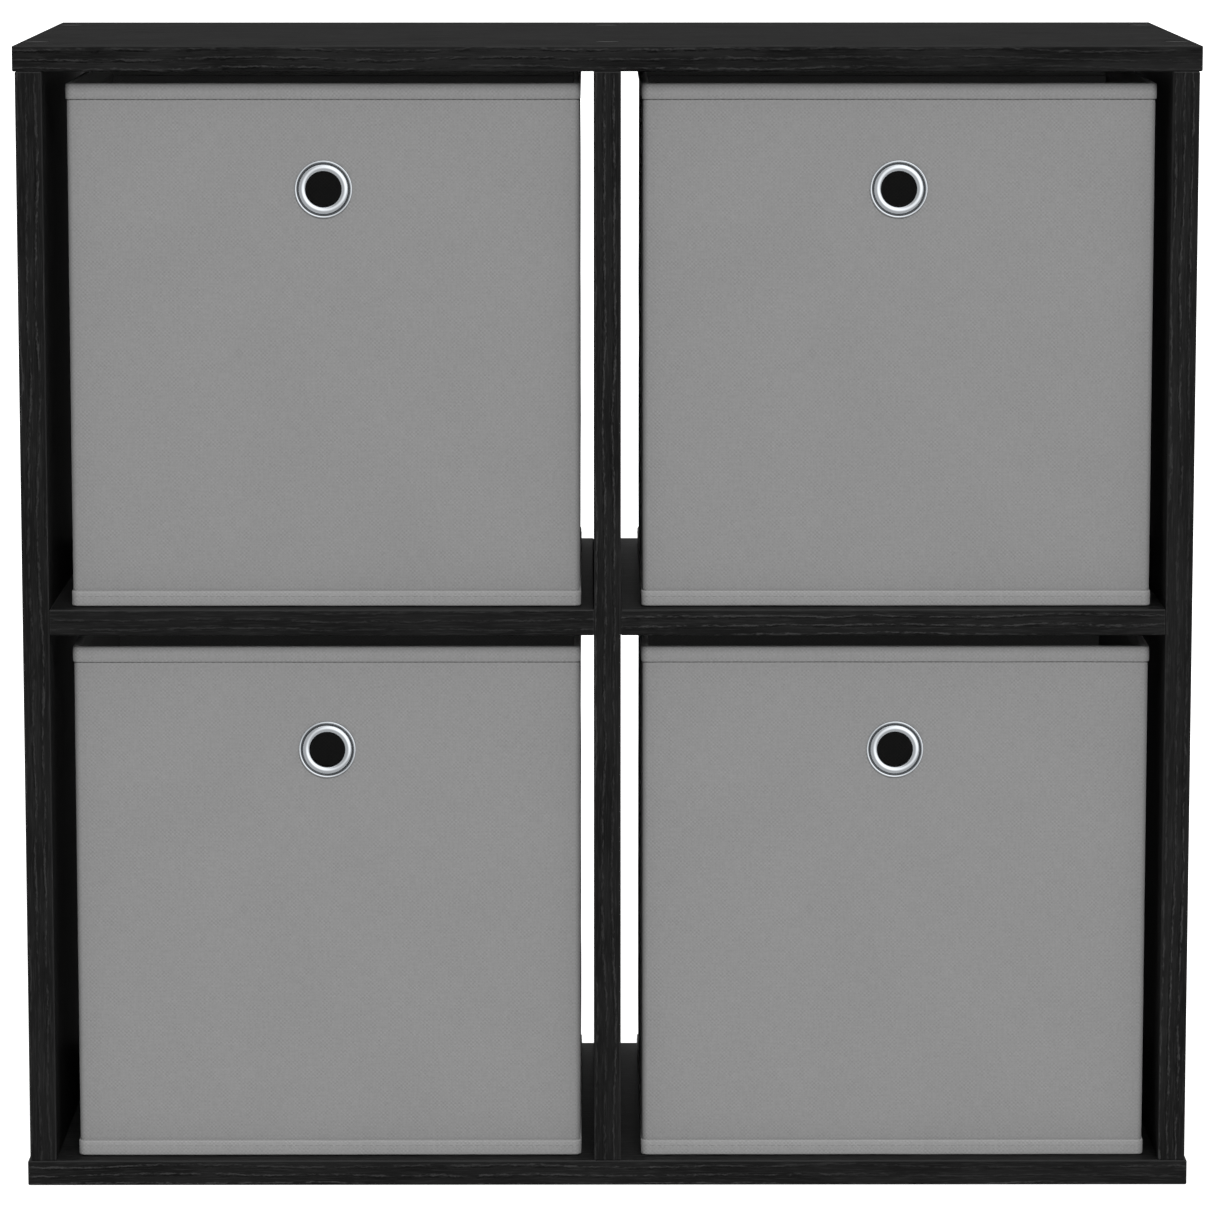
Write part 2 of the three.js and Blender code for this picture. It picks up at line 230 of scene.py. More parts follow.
def wood_material(name, along, seed, gloss, film, tone):
    """Black oak foil, its grain running along the X axis or the Z axis, darker or paler by tone."""
    shader = Shader(name)
    place = shader.scaled(shader.place(), (1, 1, 1), tuple(seed * step for step in BOARD_STEP))
    x, y, z = shader.parts(place)
    across = shader.math("ADD", y, z if along == "X" else x)

    def patches(size, detail=2.0, roughness=0.5):
        length, width = size
        thin = 1 / width
        scale = (1 / length, thin, thin) if along == "X" else (thin, thin, 1 / length)
        return shader.noise(shader.scaled(place, scale), detail, roughness)

    def wander(value, reach):
        return shader.math("MULTIPLY", shader.math("SUBTRACT", value, 0.5), reach)

    sway = wander(patches(SWAY_PATCH, 1), SWAY_REACH)
    jitter = wander(patches(JITTER_PATCH, 4, 0.78), JITTER_REACH)
    wavy = shader.math("ADD", across, shader.math("ADD", sway, jitter))
    turn = shader.math("MULTIPLY", wavy, 2 * math.pi / STREAK_SPACING)
    line = shader.steps(shader.math("SINE", turn), 0.66, 0.94)
    shade_line = shader.steps(shader.math("SINE", shader.math("ADD", turn, SHADOW_TURN)), 0.60, 0.94)
    broken = shader.steps(patches(BREAK_PATCH, 3, 0.75), 0.40, 0.58)
    band = shader.steps(patches(BAND_PATCH), 0.36, 0.62, 0.35, 1.0)
    present = shader.math("MULTIPLY", broken, band)
    streak = shader.math("MULTIPLY", line, present)
    shadow = shader.math("MULTIPLY", shade_line, present)

    fibre = patches(FIBRE_PATCH, 3, 0.65)
    figure = shader.steps(patches(FIGURE_PATCH, 3), 0.32, 0.68)
    colour = shader.mix(figure, grey(WOOD_DARK * tone), grey(WOOD_MID * tone))
    colour = shader.mix(shader.steps(fibre, 0.45, 0.80, 0, 0.35), colour, grey(WOOD_PALE))
    colour = shader.mix(shader.math("MULTIPLY", streak, 0.8), colour, grey(WOOD_PALE))
    colour = shader.mix(shader.math("MULTIPLY", shadow, 0.75), colour, grey(0.3 * WOOD_DARK))
    # painted highlight on the edge facets, chosen by which way they face
    colour = shader.mix(painted_edge_highlight(shader), colour, grey(EDGE_HIGHLIGHT_LEVEL))
    height = shader.math("ADD", shader.math("MULTIPLY", streak, 0.6), shader.math("MULTIPLY", fibre, 0.4))
    height = shader.math("SUBTRACT", height, shader.math("MULTIPLY", shadow, 0.6))

    shader.set({
        "Base Color": colour,
        "Roughness": shader.steps(fibre, 0.3, 0.7, GROOVE_ROUGHNESS, RIDGE_ROUGHNESS),
        "Specular IOR Level": gloss,
        "Coat Weight": film,
        "Coat Roughness": FILM_ROUGHNESS,
    })
    shader.bump(height, GRAIN_DEPTH)
    return shader.material


def dress_boards():
    for seed, (node, along) in enumerate(GRAIN_DIRECTIONS.items(), start=1):
        # the top panel's paler tone is painted light
        finish = TOP_FINISH_PAINTED_PALER if node == "top_panel" else BOARD_FINISH
        give(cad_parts[node], wood_material(f"black_oak_{node}", along, seed, **finish))


# ------------------------------------------------------------------ small hard parts
CAP_LEVEL = 0.0055
CAP_GRAIN_PER_METRE = 2200
CAP_GRAIN_DEPTH = 0.03 * MM
METAL_TINT = (0.91, 0.955, 1.0)
BLEMISH_DEPTH = 0.008 * MM
BEECH_DARK = (0.48, 0.30, 0.15, 1)
BEECH_PALE = (0.66, 0.47, 0.27, 1)
BEECH_FIBRES_PER_METRE = (60, 900, 900)
BEECH_FIBRE_DEPTH = 0.05 * MM


def cap_material():
    shader = Shader("cap_plastic")
    grain = shader.noise(shader.scaled(shader.place(), (CAP_GRAIN_PER_METRE,) * 3), 2)
    shader.set({"Base Color": grey(CAP_LEVEL), "Roughness": 0.5, "Specular IOR Level": 0.12})
    shader.bump(grain, CAP_GRAIN_DEPTH)
    return shader.material


def metal_material(name, level, rough_low, rough_high, blemish_size):
    shader = Shader(name)
    blemish = shader.noise(shader.scaled(shader.place(), (1 / blemish_size,) * 3), 4, 0.6)
    shader.set({
        "Base Color": (*(level * tint for tint in METAL_TINT), 1),
        "Metallic": 1.0,
        "Roughness": shader.steps(blemish, 0.35, 0.7, rough_low, rough_high),
    })
    shader.bump(blemish, BLEMISH_DEPTH)
    return shader.material


def beech_material():
    shader = Shader("beech")
    fibre = shader.noise(shader.scaled(shader.place(), BEECH_FIBRES_PER_METRE), 4)
    shader.set({"Base Color": shader.mix(fibre, BEECH_DARK, BEECH_PALE), "Roughness": 0.6})
    shader.bump(fibre, BEECH_FIBRE_DEPTH)
    return shader.material


def give(piece, material):
    piece.data.materials.clear()
    piece.data.materials.append(material)


def dress_fasteners():
    cap = cap_material()
    steel = metal_material("zinc_steel", 0.62, 0.28, 0.45, 1.2 * MM)
    beech = beech_material()
    for name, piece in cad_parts.items():
        if name.endswith("_cap"):
            give(piece, cap)
        elif name.endswith("_screw"):
            give(piece, steel)
        elif "dowel" in name:
            give(piece, beech)


# ------------------------------------------------------------------ fabric
THREAD_PITCH = 1.2 * MM
WEAVE_DEPTH = 0.10 * MM
LINING_WEAVE_DEPTH = 0.05 * MM
# How many blotches of each kind of unevenness there are in a metre of cloth.
PATCHES = (150, 150, 1)  # where the weave shows
WARP_SLUBS = (900, 110, 1)
WEFT_SLUBS = (110, 900, 1)
CLOUDS = (18, 18, 1)
FLECKS = (620, 620, 1)
FUZZ = (2600, 2600, 1)
# How far each takes the cloth from its grey level, as a share of that level.
SLUB_TONE = 0.035
CLOUD_TONE = 0.012
FLECK_TONE = 0.035
# painted shade in the weave's hollows and painted highlight on its crossings, following the weave's bump
HOLLOW_SHADE = -0.13
CROSSING_HIGHLIGHT = 0.07


def cloth_material(name, level, weave_depth=WEAVE_DEPTH):
    """Plain weave of that grey level, laid out by the piece's UV map, which is in metres."""
    shader = Shader(name)
    uv = shader.place("UV")
    u, v, _ = shader.parts(uv)
    turns = math.pi / THREAD_PITCH
    warp = shader.math("SINE", shader.math("MULTIPLY", u, turns))
    weft = shader.math("SINE", shader.math("MULTIPLY", v, turns))
    crossing = shader.math("MULTIPLY", warp, weft)
    patch = shader.steps(shader.noise(shader.scaled(uv, PATCHES), 2), 0.38, 0.66, 0.15, 1.0)
    weave = shader.math("MULTIPLY_ADD", shader.math("MULTIPLY", crossing, patch), 0.5, 0.5)

    def uneven(value, low, high, reach):
        return shader.steps(value, low, high, -reach, reach)

    def half(value):
        return shader.math("MULTIPLY", value, 0.5)

    warp_slub = shader.noise(shader.scaled(uv, WARP_SLUBS), 2)
    weft_slub = shader.noise(shader.scaled(uv, WEFT_SLUBS), 2)
    slub = shader.math("ADD", half(warp_slub), half(weft_slub))
    cloud = shader.noise(shader.scaled(uv, CLOUDS), 3)
    fleck = shader.noise(shader.scaled(uv, FLECKS), 2, 0.7)
    tone = uneven(slub, 0.35, 0.65, SLUB_TONE)
    tone = shader.math("ADD", tone, uneven(cloud, 0.3, 0.7, CLOUD_TONE))
    tone = shader.math("ADD", tone, uneven(fleck, 0.3, 0.7, FLECK_TONE))
    # the weave paints shade in its hollows and highlight on its crossings
    tone = shader.math("ADD", tone, shader.steps(weave, 0, 1, HOLLOW_SHADE, CROSSING_HIGHLIGHT))
    share = shader.math("ADD", tone, 0.5, clamp=True)

    shader.set({
        "Base Color": shader.mix(share, grey(level * 0.5), grey(level * 1.5)),
        "Roughness": 0.92,
        "Specular IOR Level": 0.12,
        "Sheen Weight": 0.12,
        "Sheen Roughness": 0.5,
    })
    fuzz = shader.noise(shader.scaled(uv, FUZZ), 2)
    shader.bump(shader.math("ADD", weave, half(shader.math("ADD", slub, fuzz))), weave_depth)
    return shader.material


# ------------------------------------------------------------------ mesh helpers
CORNER_STEPS = 6
MERGE_DISTANCE = 0.001 * MM
MOST_SMOOTH_SIDES = 4
MOST_UNSPLIT_SIDES = 6


def outline(half_x, half_y, radius, spacing):
    """Points round a rounded rectangle: (x, y, outward normal x, outward normal y, distance along)."""
    points = []
    corners = [(1, -1, -90), (1, 1, 0), (-1, 1, 90), (-1, -1, 180)]
    for index, (sign_x, sign_y, start) in enumerate(corners):
        centre = Vector((sign_x * (half_x - radius), sign_y * (half_y - radius)))
        for step in range(CORNER_STEPS + 1):
            angle = math.radians(start + 90 * step / CORNER_STEPS)
            normal = Vector((math.cos(angle), math.sin(angle)))
            points.append((centre + normal * radius, normal))
        after = corners[(index + 1) % 4]
        end_centre = Vector((after[0] * (half_x - radius), after[1] * (half_y - radius)))
        first, normal = points[-1]
        last = end_centre + normal * radius
        cuts = max(1, round((last - first).length / spacing))
        points += [(first.lerp(last, cut / cuts), normal) for cut in range(1, cuts)]
    walked = 0.0
    result = []
    for index, (point, normal) in enumerate(points):
        result.append((point.x, point.y, normal.x, normal.y, walked))
        walked += (points[(index + 1) % len(points)][0] - point).length
    return result, walked


def point_along(loop, length, distance):
    """The outline's point and outward normal at a distance along it."""
    distance %= length
    low, high = 0, len(loop) - 1
    while low < high:
        middle = (low + high + 1) // 2
        if loop[middle][4] <= distance:
            low = middle
        else:
            high = middle - 1
    here, after = loop[low], loop[(low + 1) % len(loop)]
    end = after[4] if after[4] > here[4] else length
    share = (distance - here[4]) / max(end - here[4], 1e-9)
    return tuple(a + (b - a) * share for a, b in zip(here[:4], after[:4]))


def make_object(name, builder, materials):
    """A piece from a mesh, smooth except for its faces of more than four sides, which are flat ends.

    The largest of those are split into fans, since triangles along their straight sides would
    have no area.
    """
    bmesh.ops.remove_doubles(builder, verts=builder.verts, dist=MERGE_DISTANCE)
    for face in builder.faces:
        face.smooth = len(face.verts) <= MOST_SMOOTH_SIDES
    large = [face for face in builder.faces if len(face.verts) > MOST_UNSPLIT_SIDES]
    bmesh.ops.poke(builder, faces=large)
    mesh = bpy.data.meshes.new(name)
    builder.to_mesh(mesh)
    builder.free()
    piece = bpy.data.objects.new(name, mesh)
    SCENE.collection.objects.link(piece)
    for material in materials:
        mesh.materials.append(material)
    return piece


def apply_modifiers(piece):
    graph = bpy.context.evaluated_depsgraph_get()
    done = bpy.data.meshes.new_from_object(piece.evaluated_get(graph))
    old = piece.data
    piece.modifiers.clear()
    piece.data = done
    bpy.data.meshes.remove(old)


def ring_sweep(builder, loop, loop_length, profile, uv_layer, centre, closed=True):
    """Sweeps a profile of (outward offset, height) points round an outline. Returns the rows of vertices.

    A row that lies further in than the corners' radius gets sharp corners.
    """
    half_x = max(point[0] for point in loop)
    half_y = max(point[1] for point in loop)
    rows = []
    for out, height in profile:
        row = []
        for x, y, nx, ny, _ in loop:
            place_x = max(-half_x - out, min(half_x + out, x + nx * out))
            place_y = max(-half_y - out, min(half_y + out, y + ny * out))
            row.append(builder.verts.new((centre[0] + place_x, centre[1] + place_y, centre[2] + height)))
        rows.append(row)
    reach = [0.0]
    for (out_a, height_a), (out_b, height_b) in zip(profile, profile[1:] + profile[:1]):
        reach.append(reach[-1] + math.hypot(out_b - out_a, height_b - height_a))
    along = [point[4] for point in loop] + [loop_length]
    pairs = range(len(rows)) if closed else range(len(rows) - 1)
    for row in pairs:
        lower, upper = rows[row], rows[(row + 1) % len(rows)]
        for column in range(len(loop)):
            after = (column + 1) % len(loop)
            face = builder.faces.new((lower[column], lower[after], upper[after], upper[column]))
            corners = ((column, row), (column + 1, row), (column + 1, row + 1), (column, row + 1))
            for corner, (u, v) in zip(face.loops, corners):
                corner[uv_layer].uv = (along[u], reach[v])
    return rows


def add_end(builder, row, uv_layer):
    """Closes a row of vertices with one flat face, its cloth laid out as seen from above."""
    face = builder.faces.new(row)
    for corner in face.loops:
        corner[uv_layer].uv = corner.vert.co.xy


def lathe(name, profile, centre, materials, second_rows=(0, 0)):
    """A turned piece round an axis that runs front to back. The profile is (radius, distance rearward).

    The rows of faces from the first to the second of second_rows take the second material.
    """
    builder = bmesh.new()
    rows = []
    for radius, back in profile:
        row = []
        for step in range(EYELET_SIDES):
            angle = 2 * math.pi * step / EYELET_SIDES
            place = (radius * math.cos(angle), back, radius * math.sin(angle))
            row.append(builder.verts.new([middle + offset for middle, offset in zip(centre, place)]))
        rows.append(row)
    for row in range(len(rows)):
        here, there = rows[row], rows[(row + 1) % len(rows)]
        for step in range(EYELET_SIDES):
            after = (step + 1) % EYELET_SIDES
            face = builder.faces.new((here[step], here[after], there[after], there[step]))
            face.material_index = int(second_rows[0] <= row < second_rows[1])
    bmesh.ops.recalc_face_normals(builder, faces=builder.faces)
    return make_object(name, builder, materials)


# ------------------------------------------------------------------ fabric boxes
WALL = 3.0 * MM
FLOOR_THICKNESS = 1.9 * MM
CLOTH_SPACING = 5 * MM  # between the rows and columns of the cloth's mesh
CORNER_RADIUS = 3.6 * MM
BOTTOM_EDGE_RADIUS = 1.6 * MM
BOTTOM_EDGE_STEPS = 3

PILLOW = 0.5 * MM  # how much further a wall's cloth stands out in its middle than at its edges
PILLOW_REST = 0.4  # the share of that which lies inside the flat wall
RUFFLE = 0.22 * MM
RUFFLES_PER_METRE = 22
CREASES_PER_METRE = 70
CREASE_SHARE = 0.3  # of the ruffle
PUCKER = 0.25 * MM  # how far the cloth is drawn in at the eyelet's rim
PUCKERS = 11  # round an eyelet

TOP_HEM = 9.2 * MM
BOTTOM_HEM = 9.0 * MM
HEM_PROUD = 0.6 * MM
HEM_WAVE = 0.12 * MM
HEM_WAVES_PER_METRE = 30
TOP_PINCH = 0.34 * MM
BOTTOM_PINCH = 0.25 * MM
PINCH_OFF_SEAM = 0.3 * MM
PINCH_REACH = 0.55 * MM
SEAM_ROW_SPACING = 0.45 * MM
SEAM_ROWS = 5  # on each side of a seam

STITCH_LENGTH = 3.5 * MM
STITCH_PITCH = 4.0 * MM
STITCH_RADIUS = 0.22 * MM
STITCH_SECTIONS = 5
STITCH_SIDES = 6

EYELET_HOLE = 10.4 * MM
EYELET_FLANGE = 17.0 * MM
EYELET_DROP = 62 * MM
EYELET_SIDES = 96
SHELL_HOLE = 12.3 * MM
BEAD_HEIGHT = 1.5 * MM
BEAD_STEPS = 14

BASE_INSET = 1 * MM  # the board inside its cover is this much smaller than the cover
BASE_CORNER_RADIUS = 1.5 * MM
BASE_SPACING = 8 * MM


class FabricBox:
    """One box's places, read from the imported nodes, and the pieces made for it."""

    def __init__(self, name, seed):
        self.name = name
        self.body = f"{name}_box"
        self.seed = seed
        low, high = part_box(f"{name}_fabric_shell")
        self.centre = (low + high) / 2
        self.half_x = (high.x - low.x) / 2
        self.half_y = (high.y - low.y) / 2
        self.low = low
        self.high = high
        self.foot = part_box(f"{name}_bottom_binding")[0].z
        self.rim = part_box(f"{name}_top_binding")[1].z
        self.eyelet_z = self.rim - EYELET_DROP
        self.top_seam = self.rim - TOP_HEM
        self.bottom_seam = self.foot + BOTTOM_HEM

    def own(self, piece, node=None):
        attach(piece, self.body)
        if node:
            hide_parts(f"{self.name}_{node}")

    # ---------------- cloth
    def cloth_offset(self, x, y, z):
        """How far the cloth stands out from the flat wall at a point of it."""
        up = (z - self.low.z) / (self.high.z - self.low.z)
        across = x / self.half_x if abs(abs(y) - self.half_y) < 2 * MM else y / self.half_y
        pillow = (1 - abs(across) ** 6) * (1 - abs(2 * up - 1) ** 6)
        ruffle_place = Vector((x, y, z)) * RUFFLES_PER_METRE + Vector((self.seed * 9.1, 0, 0))
        crease_place = Vector((x, y, z * 0.6)) * CREASES_PER_METRE + Vector((0, self.seed * 5.3, 0))
        ruffle = noise.noise(ruffle_place)
        crease = noise.noise(crease_place)
        offset = PILLOW * (pillow - PILLOW_REST) + RUFFLE * ruffle * pillow + CREASE_SHARE * RUFFLE * crease
        offset -= self.seam_pinch(z)
        if y < -self.half_y + 2 * MM:
            offset -= self.eyelet_pucker(x, z - self.eyelet_z)
        return offset

    def seam_pinch(self, z):
        """How far the stitching pulls the cloth in along the free edge of each hem."""
        top = math.exp(-((z - self.top_seam + PINCH_OFF_SEAM) / PINCH_REACH) ** 2)
        bottom = math.exp(-((z - self.bottom_seam - PINCH_OFF_SEAM) / PINCH_REACH) ** 2)
        return TOP_PINCH * top + BOTTOM_PINCH * bottom

    def eyelet_pucker(self, across, up):
        """How far the eyelet draws the cloth in at a point of the front, given from its middle."""
        reach = math.hypot(across, up)
        if reach >= 4 * EYELET_FLANGE:
            return 0.0
        angle = math.atan2(up, across)
        fade = math.exp(-((reach - EYELET_FLANGE) / (0.6 * EYELET_FLANGE)) ** 2)
        return PUCKER * fade * (1 + 0.35 * math.sin(PUCKERS * angle + self.seed))

    def row_heights(self):
        """Heights of the cloth's rows above its lower edge, close together along the seams."""
        height = self.high.z - self.low.z
        flat = height - BOTTOM_EDGE_RADIUS
        count = round(flat / CLOTH_SPACING)
        regular = [BOTTOM_EDGE_RADIUS + flat * step / count for step in range(1, count + 1)]
        fine = []
        for seam in (self.top_seam - self.low.z, self.bottom_seam - self.low.z):
            fine += [seam + step * SEAM_ROW_SPACING for step in range(-SEAM_ROWS, SEAM_ROWS + 1)]

        def kept(row):
            near_rim = row > height - (SEAM_ROWS + 1) * SEAM_ROW_SPACING
            return near_rim or all(abs(row - other) > SEAM_ROW_SPACING for other in fine)

        return sorted([row for row in regular if kept(row)] + fine)

    def make_shell(self, cloth, lining):
        builder = bmesh.new()
        uv_layer = builder.loops.layers.uv.new("weave")
        loop, length = outline(self.half_x, self.half_y, CORNER_RADIUS, CLOTH_SPACING)
        profile = []
        for step in range(BOTTOM_EDGE_STEPS + 1):
            angle = math.radians(90 * step / BOTTOM_EDGE_STEPS)
            inward = BOTTOM_EDGE_RADIUS * (math.sin(angle) - 1)
            height = BOTTOM_EDGE_RADIUS * (1 - math.cos(angle))
            profile.append((inward, height))
        profile += [(0, height) for height in self.row_heights()]
        origin = (self.centre.x, self.centre.y, self.low.z)
        rows = ring_sweep(builder, loop, length, profile, uv_layer, origin, closed=False)
        add_end(builder, list(reversed(rows[0])), uv_layer)

        for row in rows[BOTTOM_EDGE_STEPS + 1:]:
            for vertex, (_, _, nx, ny, _) in zip(row, loop):
                local = vertex.co - self.centre
                out = self.cloth_offset(local.x, local.y, vertex.co.z)
                vertex.co.x += nx * out
                vertex.co.y += ny * out
        self.open_eyelet_hole(builder)
        piece = make_object(f"{self.name}_shell_cloth", builder, [cloth, lining])
        solidify = piece.modifiers.new("wall", "SOLIDIFY")
        solidify.thickness = WALL
        solidify.offset = -1
        solidify.material_offset = 1
        solidify.material_offset_rim = 1
        apply_modifiers(piece)
        self.thin_floor(piece)
        self.own(piece, "fabric_shell")

    def thin_floor(self, piece):
        """Lowers the inner face of the floor, which is a thinner board than the walls."""
        for vertex in piece.data.vertices:
            place = vertex.co - self.centre
            inner = abs(place.x) < self.half_x - WALL / 2 and abs(place.y) < self.half_y - WALL / 2
            if inner and self.low.z + WALL / 2 < vertex.co.z < self.low.z + WALL + 1 * MM:
                vertex.co.z -= WALL - FLOOR_THICKNESS

    def open_eyelet_hole(self, builder):
        """Takes out the faces inside the eyelet and draws the rest of the front up to its ring."""

        def from_eyelet(point):
            return Vector((point.x - self.centre.x, point.z - self.eyelet_z))

        front_y = self.low.y + 3 * MM
        inside = [
            face for face in builder.faces
            if len(face.verts) == 4
            and face.calc_center_median().y < front_y
            and from_eyelet(face.calc_center_median()).length < SHELL_HOLE
        ]
        bmesh.ops.delete(builder, geom=inside, context="FACES")
        for vertex in builder.verts:
            if vertex.co.y < front_y and any(edge.is_boundary for edge in vertex.link_edges):
                away = from_eyelet(vertex.co)
                if away.length < 1.6 * SHELL_HOLE:
                    target = away.normalized() * SHELL_HOLE
                    vertex.co.x = self.centre.x + target.x
                    vertex.co.z = self.eyelet_z + target.y

    # ---------------- hems and stitches
    def make_hem(self, label, profile, base_z, material, node):
        builder = bmesh.new()
        uv_layer = builder.loops.layers.uv.new("weave")
        loop, length = outline(self.half_x, self.half_y, CORNER_RADIUS, CLOTH_SPACING)
        ring_sweep(builder, loop, length, profile, uv_layer, (self.centre.x, self.centre.y, base_z))
        for vertex in builder.verts:
            wave = noise.noise(Vector(vertex.co) * HEM_WAVES_PER_METRE + Vector((0, 0, self.seed * 3.7)))
            vertex.co.z += HEM_WAVE * wave
        bmesh.ops.recalc_face_normals(builder, faces=builder.faces)
        piece = make_object(f"{self.name}_{label}", builder, [material])
        self.own(piece, node)

    def make_top_hem(self, material):
        """The tape folded over the rim. Its profile is (outward, up), from the rim's outer edge."""
        out = HEM_PROUD
        back = -WALL - 0.75 * MM
        drop = TOP_HEM
        profile = [
            # the free edge in front, turned in
            (-0.5 * MM, -drop + 0.15 * MM),
            (0.8 * out, -drop),
            (out, -drop + 0.2 * MM),
            # up the front and over the rim
            (1.1 * out, -drop / 2),
            (out, -1.2 * MM),
            (0.6 * out, -0.4 * MM),
            (-0.5 * MM, 0),
            (-WALL / 2, 0),
            (back + 1.4 * MM, 0),
            (back + 0.3 * MM, -0.5 * MM),
            (back, -1.6 * MM),
            # down the inside to the other free edge
            (back, -drop + 0.5 * MM),
            (back + 0.5 * MM, -drop),
            (-1.5 * MM, -drop + 0.1 * MM),
        ]
        self.make_hem("top_hem", profile, self.rim, material, "top_binding")

    def make_bottom_hem(self, material):
        """The tape round the bottom edge. Its profile is (outward, up), from the box's foot."""
        out = HEM_PROUD
        under = -8 * MM
        tall = BOTTOM_HEM
        profile = [
            # the free edge under the floor
            (under, 0.75 * MM),
            (under, 0),
            # round the bottom edge
            (-0.6 * MM, 0),
            (0.5 * out, 0.2 * MM),
            (out, 0.7 * MM),
            (out, 1.1 * MM),
            # up the wall to the other free edge
            (1.03 * out, tall / 2),
            (out, tall - 0.8 * MM),
            (0.85 * out, tall - 0.25 * MM),
            (0.2 * out, tall),
            # back down against the wall
            (-0.5 * MM, tall - 0.1 * MM),
            (-0.7 * MM, 2 * MM),
        ]
        self.make_hem("bottom_hem", profile, self.foot, material, "bottom_binding")

    def make_stitches(self, label, height, out, thread):
        """A row of single stitches round the box, each a short thread that dips in at its ends."""
        builder = bmesh.new()
        loop, length = outline(self.half_x + out, self.half_y + out, CORNER_RADIUS + out, 1 * MM)
        count = int(length / STITCH_PITCH)
        for index in range(count):
            start = (index + 0.5) * length / count
            rings = []
            for section in range(STITCH_SECTIONS):
                share = section / (STITCH_SECTIONS - 1)
                x, y, nx, ny = point_along(loop, length, start + (share - 0.5) * STITCH_LENGTH)
                from_middle = abs(2 * share - 1)
                dip = -1.6 * STITCH_RADIUS * from_middle ** 4
                thick = STITCH_RADIUS * (1 - 0.45 * from_middle ** 3)
                ring = []
                for side in range(STITCH_SIDES):
                    angle = 2 * math.pi * side / STITCH_SIDES
                    reach = dip + thick * math.cos(angle)
                    ring.append(builder.verts.new((
                        self.centre.x + x + nx * reach,
                        self.centre.y + y + ny * reach,
                        height + thick * math.sin(angle),
                    )))
                rings.append(ring)
            for first, second in zip(rings, rings[1:]):
                for side in range(STITCH_SIDES):
                    after = (side + 1) % STITCH_SIDES
                    builder.faces.new((first[side], second[side], second[after], first[after]))
            builder.faces.new(rings[0])
            builder.faces.new(list(reversed(rings[-1])))
        bmesh.ops.recalc_face_normals(builder, faces=builder.faces)
        piece = make_object(f"{self.name}_{label}", builder, [thread])
        self.own(piece)

    # ---------------- eyelet and base
    def make_eyelet(self, metal, painted_groove_shade):
        """The ring in front, with its barrel, and the washer behind the wall.

        Both profiles are (radius, distance rearward), from the middle of the hole in the front.
        """
        centre = (self.centre.x, self.centre.y - self.half_y, self.eyelet_z)
        hole = EYELET_HOLE
        flange = EYELET_FLANGE
        bead_half = (flange - 2.2 * MM - hole) / 2
        bead_middle = hole + bead_half
        flank = -0.45 * MM
        tail = WALL + 1.3 * MM
        profile = [(hole, tail), (hole, 0.2 * MM)]
        for step in range(1, BEAD_STEPS):
            angle = math.pi * step / BEAD_STEPS
            profile.append((bead_middle - bead_half * math.cos(angle), flank - BEAD_HEIGHT * math.sin(angle)))
        groove_from = len(profile) - 1
        profile += [
            (flange - 2.0 * MM, flank + 0.05 * MM),
            (flange - 1.7 * MM, flank + 0.15 * MM),
            (flange - 1.4 * MM, flank - 0.05 * MM),
        ]
        groove_to = len(profile)
        profile += [
            # the flange's rounded rim
            (flange - 1.2 * MM, -1.0 * MM),
            (flange - 0.95 * MM, -1.22 * MM),
            (flange - 0.6 * MM, -1.28 * MM),
            (flange - 0.3 * MM, -1.22 * MM),
            (flange - 0.08 * MM, -0.95 * MM),
            (flange, -0.6 * MM),
            # its back, against the cloth, and the barrel's outside
            (flange - 0.1 * MM, 0.1 * MM),
            (hole + 1.3 * MM, 0.1 * MM),
            (hole + 1.2 * MM, tail),
        ]
        # the groove's faces take the second, darker metal: painted shade in the groove
        groove = (groove_from, groove_to)
        piece = lathe(f"{self.name}_eyelet_ring", profile, centre, [metal, painted_groove_shade], groove)
        self.own(piece, "eyelet")

        near = WALL + 0.3 * MM
        washer = [
            # the side towards the wall
            (hole + 1.2 * MM, near),
            (flange - 1.4 * MM, near),
            # the rim, and the dished back
            (flange - 1 * MM, near + 0.3 * MM),
            (flange - 1.3 * MM, near + 0.8 * MM),
            (hole + 3.2 * MM, near + 0.8 * MM),
            (hole + 2.2 * MM, near + 1.1 * MM),
            (hole + 1.2 * MM, near + 0.8 * MM),
        ]
        piece = lathe(f"{self.name}_eyelet_back", washer, centre, [metal])
        self.own(piece, "eyelet_washer")

    def make_base_board(self, lining):
        """The loose board in its cover, with edges rounded by the cloth."""
        node = f"{self.name}_base_board"
        low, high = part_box(node)
        middle = (low + high) / 2
        thick = high.z - low.z
        half_x = (high.x - low.x) / 2 - BASE_INSET
        half_y = (high.y - low.y) / 2 - BASE_INSET
        builder = bmesh.new()
        uv_layer = builder.loops.layers.uv.new("weave")
        loop, length = outline(half_x, half_y, BASE_CORNER_RADIUS, BASE_SPACING)
        inward = -2.5 * MM
        profile = [
            (inward, 0),
            (0.4 * BASE_INSET, 0.15 * thick),
            (BASE_INSET, 0.5 * thick),
            (0.4 * BASE_INSET, 0.85 * thick),
            (inward, thick),
        ]
        rows = ring_sweep(builder, loop, length, profile, uv_layer, (middle.x, middle.y, low.z), closed=False)
        add_end(builder, list(reversed(rows[0])), uv_layer)
        add_end(builder, rows[-1], uv_layer)
        piece = make_object(f"{self.name}_base_cover", builder, [lining])
        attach(piece, f"{self.name}_base")
        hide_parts(node)


